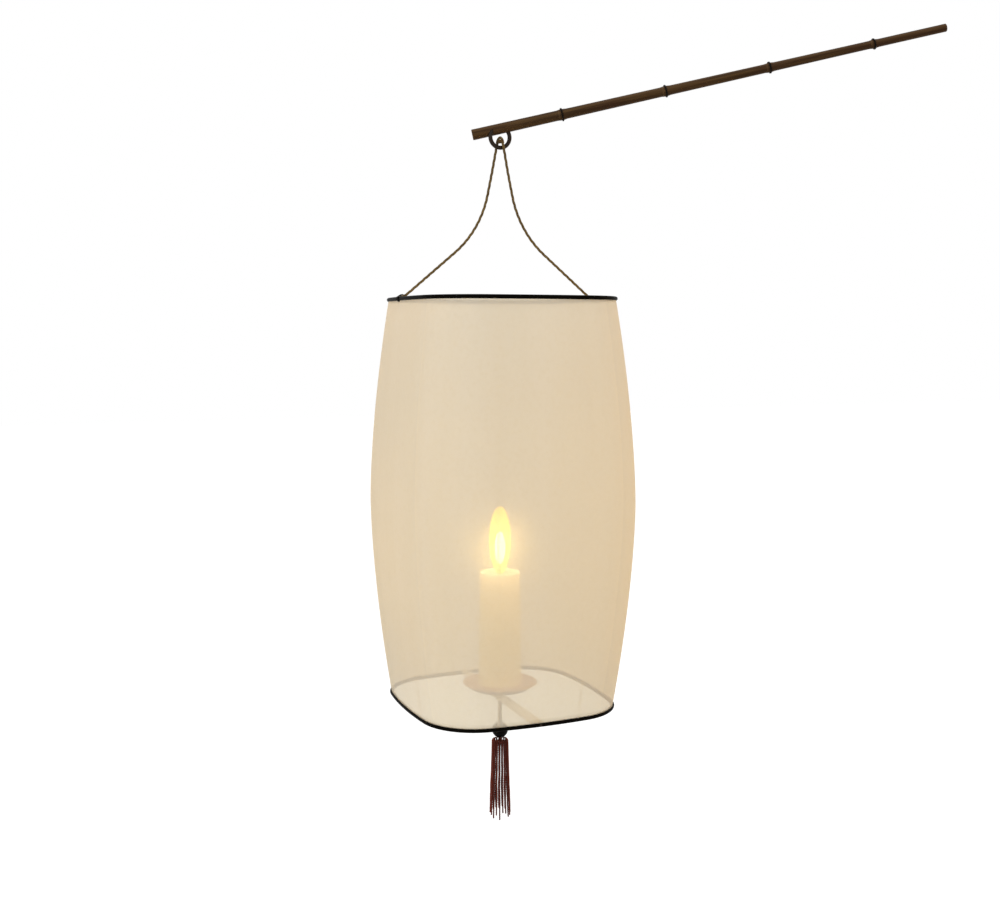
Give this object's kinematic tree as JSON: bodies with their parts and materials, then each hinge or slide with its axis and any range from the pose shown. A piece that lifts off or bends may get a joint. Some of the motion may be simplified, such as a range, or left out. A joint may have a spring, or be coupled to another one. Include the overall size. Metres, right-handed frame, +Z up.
{
  "type": "hand lantern",
  "caption": "Barrel-shaped paper lantern with black hoops, hung by a bail and ring from a slanting bamboo carrying pole, with a candle inside and a tassel below.",
  "frame": {"origin": "on the pole's axis, in the middle of its grip", "axes": "+Z up as the lantern hangs; the sides of the hoops lie along X and Y, with the bail in an XZ plane; from the lantern the pole heads 22 degrees from +X towards -Y and rises 12.55 degrees"},
  "size_m": [0.5181, 0.2828, 0.7894],
  "materials": {
    "smoked_bamboo": "dark smoked bamboo, satin",
    "binding_lacquer": "thread bound tight and lacquered black",
    "black_iron": "forged iron, oiled black",
    "cane": "bent cane, olive brown, waxed",
    "hemp_thread": "waxed hemp thread",
    "black_lacquer": "wood lacquered black",
    "washi": "thin translucent mulberry paper, matt",
    "split_bamboo": "pale split bamboo, bare",
    "turned_wood": "pale turned wood, bare",
    "bead_lacquer": "turned wood lacquered black, polished",
    "wax": "paraffin wax, satin, slightly translucent",
    "wick_cotton": "braided cotton, charred at the tip",
    "tassel_silk": "dark red-brown twisted silk cord"
  },
  "bodies": {
    "pole": {"pole_culm": "smoked_bamboo", "node_binding_1": "binding_lacquer", "node_binding_2": "binding_lacquer", "node_binding_3": "binding_lacquer", "node_binding_4": "binding_lacquer"},
    "ring": {"carrying_ring": "black_iron"},
    "lantern": {"bail": "cane", "crown_binding": "hemp_thread", "bail_lashing_left": "binding_lacquer", "bail_lashing_right": "binding_lacquer", "top_hoop": "black_lacquer", "bottom_hoop": "black_lacquer", "shade_paper": "washi", "rib_1": "split_bamboo", "rib_2": "split_bamboo", "rib_3": "split_bamboo", "rib_4": "split_bamboo", "rib_5": "split_bamboo", "rib_6": "split_bamboo", "rib_7": "split_bamboo", "rib_8": "split_bamboo", "crossbar": "split_bamboo", "crossbar_nail_front": "black_iron", "crossbar_nail_rear": "black_iron", "dish": "turned_wood", "spindle": "black_iron", "spindle_cotter": "black_iron", "bead": "bead_lacquer"},
    "candle": {"candle": "wax", "wick": "wick_cotton"},
    "tassel": {"tassel_loop": "tassel_silk", "tassel_core": "turned_wood", "tassel_strands": "tassel_silk"}
  },
  "joints": [
    {"name": "ring_turn", "type": "hinge", "parent": "pole", "child": "ring", "pos_m": [-0.3679, 0.14864, -0.09643], "axis": [0, 1, 0], "range_deg": [-45, 45]},
    {"name": "lantern_swing", "type": "hinge", "parent": "ring", "child": "lantern", "pos_m": [-0.3679, 0.14864, -0.10643], "axis": [1, 0, 0], "range_deg": [-45, 45]},
    {"name": "candle_lift", "type": "slide", "parent": "lantern", "child": "candle", "axis": [0, 0, 1], "range_m": [0, 0.025]},
    {"name": "tassel_swing", "type": "hinge", "parent": "lantern", "child": "tassel", "pos_m": [-0.3679, 0.14864, -0.69343], "axis": [1, 0, 0], "range_deg": [-25, 25]}
  ]
}
